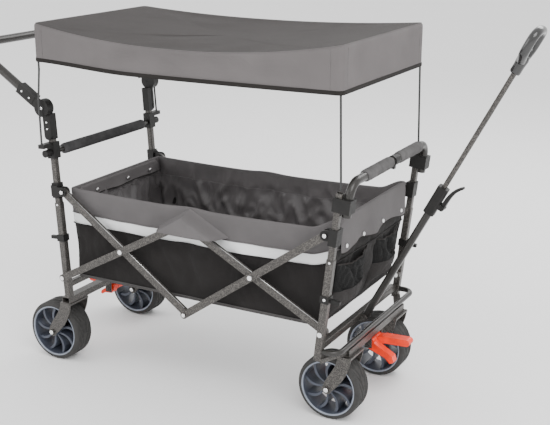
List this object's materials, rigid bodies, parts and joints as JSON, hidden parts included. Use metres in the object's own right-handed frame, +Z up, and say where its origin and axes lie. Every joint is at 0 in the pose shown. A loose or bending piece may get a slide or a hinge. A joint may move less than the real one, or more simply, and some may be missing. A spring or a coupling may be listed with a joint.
{
  "type": "folding wagon",
  "caption": "Grey and black folding canopy wagon for children, with a telescoping pull handle, a rear push handle and swivelling front wheels",
  "frame": {"origin": "on the ground under the middle of the wagon's overall box, on its centre plane", "axes": "+X points forward to the pull handle, +Y to the far side, +Z up"},
  "size_m": [1.6585, 0.596, 1.1077],
  "materials": {
    "frame_paint": "speckled hammertone powder coat",
    "alloy_tube": "speckled coat over tube",
    "bright_steel": "plated rivets",
    "black_plastic": "moulded, fine grain",
    "fibre_rod": "smooth black rod",
    "gloss_black": "glossy black grip",
    "foam_grip": "closed-cell foam",
    "canopy_fabric": "woven polyester, grey",
    "tub_fabric": "woven polyester, black with a grey top band",
    "mat_fabric": "quilted mat fabric",
    "orange_plastic": "orange moulding",
    "tread_rubber": "matt tread",
    "rim_plastic": "blue-grey moulding"
  },
  "bodies": {
    "rear_frame": {"rear_lower_posts": "frame_paint", "rear_axle_beam": "frame_paint", "rear_cross_tube": "frame_paint", "rear_forks": "frame_paint", "rear_frame_rivets": "bright_steel", "rear_collars": "black_plastic"},
    "rear_wheel_near": {"rear_tyre_near": "tread_rubber", "rear_rim_near": "rim_plastic"},
    "rear_wheel_far": {"rear_tyre_far": "tread_rubber", "rear_rim_far": "rim_plastic"},
    "rear_brake_pedals": {"rear_lock_pedal": "orange_plastic", "rear_release_pedal": "orange_plastic"},
    "rear_lift_link": {"rear_lift_bars": "frame_paint", "rear_lift_rivets": "bright_steel"},
    "rear_drop_link": {"rear_drop_bars": "frame_paint"},
    "front_lift_link": {"front_lift_bars": "frame_paint", "front_lift_rivets": "bright_steel"},
    "front_drop_link": {"front_drop_bars": "frame_paint"},
    "rear_upper": {"rear_upper_posts": "frame_paint", "rear_slider_brackets": "black_plastic", "rear_clamps": "black_plastic", "rear_bar_tube": "frame_paint", "rear_bar_foam": "foam_grip", "rear_hinge_plates": "frame_paint", "rear_canopy_hoop": "fibre_rod", "tub_basket": "tub_fabric", "canopy_cover": "canopy_fabric"},
    "rear_knob_near": {"rear_knob_near": "black_plastic"},
    "rear_knob_far": {"rear_knob_far": "black_plastic"},
    "push_handle": {"push_hinge_discs": "black_plastic", "push_arms": "frame_paint", "push_crossbar": "frame_paint"},
    "front_frame": {"front_lower_posts": "frame_paint", "front_axle_beam": "frame_paint", "front_cross_tube": "frame_paint", "bumper_tube": "frame_paint", "front_frame_rivets": "bright_steel", "front_collars": "black_plastic"},
    "caster_near": {"front_fork_near": "frame_paint"},
    "caster_far": {"front_fork_far": "frame_paint"},
    "front_wheel_near": {"front_tyre_near": "tread_rubber", "front_rim_near": "rim_plastic"},
    "front_wheel_far": {"front_tyre_far": "tread_rubber", "front_rim_far": "rim_plastic"},
    "front_brake_pedals": {"front_lock_pedal": "orange_plastic", "front_release_pedal": "orange_plastic"},
    "front_upper": {"front_upper_posts": "frame_paint", "front_slider_brackets": "black_plastic", "front_brackets": "black_plastic", "handlebar_tube": "frame_paint", "handlebar_grips": "foam_grip", "handlebar_clip": "black_plastic", "front_canopy_hoop": "fibre_rod"},
    "pull_handle": {"pull_tube": "alloy_tube", "pull_clamp": "black_plastic"},
    "pull_lever": {"pull_lever": "black_plastic"},
    "pull_grip": {"pull_slide_tube": "alloy_tube", "pull_grip": "gloss_black"},
    "floor_rear": {"floor_rear": "mat_fabric"},
    "floor_front": {"floor_front": "mat_fabric"}
  },
  "joints": [
    {"name": "fold", "type": "hinge", "parent": "rear_frame", "child": "rear_lift_link", "pos_m": [-0.52617, 0, 0.291], "axis": [0, -1, 0], "range_deg": [0, 46], "deforming": ["tub_basket", "canopy_cover"]},
    {"name": "rear_cross", "type": "hinge", "parent": "rear_lift_link", "child": "rear_drop_link", "pos_m": [-0.30175, 0, 0.41134], "axis": [0, -1, 0], "range_deg": [-85.27, 0]},
    {"name": "top_centre", "type": "hinge", "parent": "rear_lift_link", "child": "front_lift_link", "pos_m": [-0.08417, 0, 0.528], "axis": [0, -1, 0], "range_deg": [-89.25, 0]},
    {"name": "front_cross", "type": "hinge", "parent": "front_lift_link", "child": "front_drop_link", "pos_m": [0.1368, 0, 0.40951], "axis": [0, -1, 0], "range_deg": [0, 81.89]},
    {"name": "front_low", "type": "hinge", "parent": "front_lift_link", "child": "front_frame", "pos_m": [0.35783, 0, 0.291], "axis": [0, -1, 0], "range_deg": [0, 47.53]},
    {"name": "rear_rise", "type": "slide", "parent": "rear_frame", "child": "rear_upper", "axis": [-0.0593, 0, 0.9982], "range_m": [0, 0.22569]},
    {"name": "front_rise", "type": "slide", "parent": "front_frame", "child": "front_upper", "axis": [0.1201, 0, 0.9928], "range_m": [0, 0.22814]},
    {"name": "floor_rear_lift", "type": "hinge", "parent": "rear_frame", "child": "floor_rear", "pos_m": [-0.48817, 0, 0.3], "axis": [0, -1, 0], "range_deg": [0, 84.5]},
    {"name": "floor_centre", "type": "hinge", "parent": "floor_rear", "child": "floor_front", "pos_m": [-0.08417, 0, 0.296], "axis": [0, -1, 0], "range_deg": [-168.5, 0]},
    {"name": "rear_wheel_near_spin", "type": "hinge", "parent": "rear_frame", "child": "rear_wheel_near", "pos_m": [-0.59117, -0.212, 0.095], "axis": [0, 1, 0], "continuous": true},
    {"name": "caster_near_swivel", "type": "hinge", "parent": "front_frame", "child": "caster_near", "pos_m": [0.39583, -0.162, 0.2], "axis": [0, 0, 1], "continuous": true},
    {"name": "front_wheel_near_spin", "type": "hinge", "parent": "caster_near", "child": "front_wheel_near", "pos_m": [0.34383, -0.162, 0.095], "axis": [0, 1, 0], "continuous": true},
    {"name": "rear_knob_near_turn", "type": "hinge", "parent": "rear_upper", "child": "rear_knob_near", "pos_m": [-0.54936, -0.26, 0.68131], "axis": [0, 1, 0], "continuous": true},
    {"name": "rear_wheel_far_spin", "type": "hinge", "parent": "rear_frame", "child": "rear_wheel_far", "pos_m": [-0.59117, 0.212, 0.095], "axis": [0, 1, 0], "continuous": true},
    {"name": "caster_far_swivel", "type": "hinge", "parent": "front_frame", "child": "caster_far", "pos_m": [0.39583, 0.162, 0.2], "axis": [0, 0, 1], "continuous": true},
    {"name": "front_wheel_far_spin", "type": "hinge", "parent": "caster_far", "child": "front_wheel_far", "pos_m": [0.34383, 0.162, 0.095], "axis": [0, 1, 0], "continuous": true},
    {"name": "rear_knob_far_turn", "type": "hinge", "parent": "rear_upper", "child": "rear_knob_far", "pos_m": [-0.54936, 0.26, 0.68131], "axis": [0, 1, 0], "continuous": true},
    {"name": "front_brake", "type": "hinge", "parent": "front_frame", "child": "front_brake_pedals", "pos_m": [0.39383, 0, 0.179], "axis": [0, 1, 0], "range_deg": [-8, 14]},
    {"name": "rear_brake", "type": "hinge", "parent": "rear_frame", "child": "rear_brake_pedals", "pos_m": [-0.53317, 0, 0.179], "axis": [0, -1, 0], "range_deg": [-8, 14]},
    {"name": "push_tilt", "type": "hinge", "parent": "rear_upper", "child": "push_handle", "pos_m": [-0.55743, 0, 0.81707], "axis": [0, 1, 0], "range_deg": [-70, 25]},
    {"name": "pull_tilt", "type": "hinge", "parent": "front_frame", "child": "pull_handle", "pos_m": [0.36583, 0, 0.244], "axis": [0, -1, 0], "range_deg": [-36, 14]},
    {"name": "pull_lever_open", "type": "hinge", "parent": "pull_handle", "child": "pull_lever", "pos_m": [0.58445, 0, 0.60348], "axis": [0, 1, 0], "range_deg": [0, 100]},
    {"name": "pull_slide", "type": "slide", "parent": "pull_handle", "child": "pull_grip", "axis": [0.4679, 0, 0.8838], "range_m": [-0.3, 0]}
  ],
  "couplings": [
    {"joint": "rear_cross", "follows": "fold", "ratio": -1.8428},
    {"joint": "top_centre", "follows": "fold", "ratio": -1.9292},
    {"joint": "front_cross", "follows": "fold", "ratio": 1.7694},
    {"joint": "front_low", "follows": "fold", "ratio": 1.0223},
    {"joint": "rear_rise", "follows": "fold", "m_per_rad": 0.27987},
    {"joint": "front_rise", "follows": "fold", "m_per_rad": 0.28292},
    {"joint": "floor_rear_lift", "follows": "fold", "ratio": 1.8261},
    {"joint": "floor_centre", "follows": "fold", "ratio": -3.6522}
  ]
}
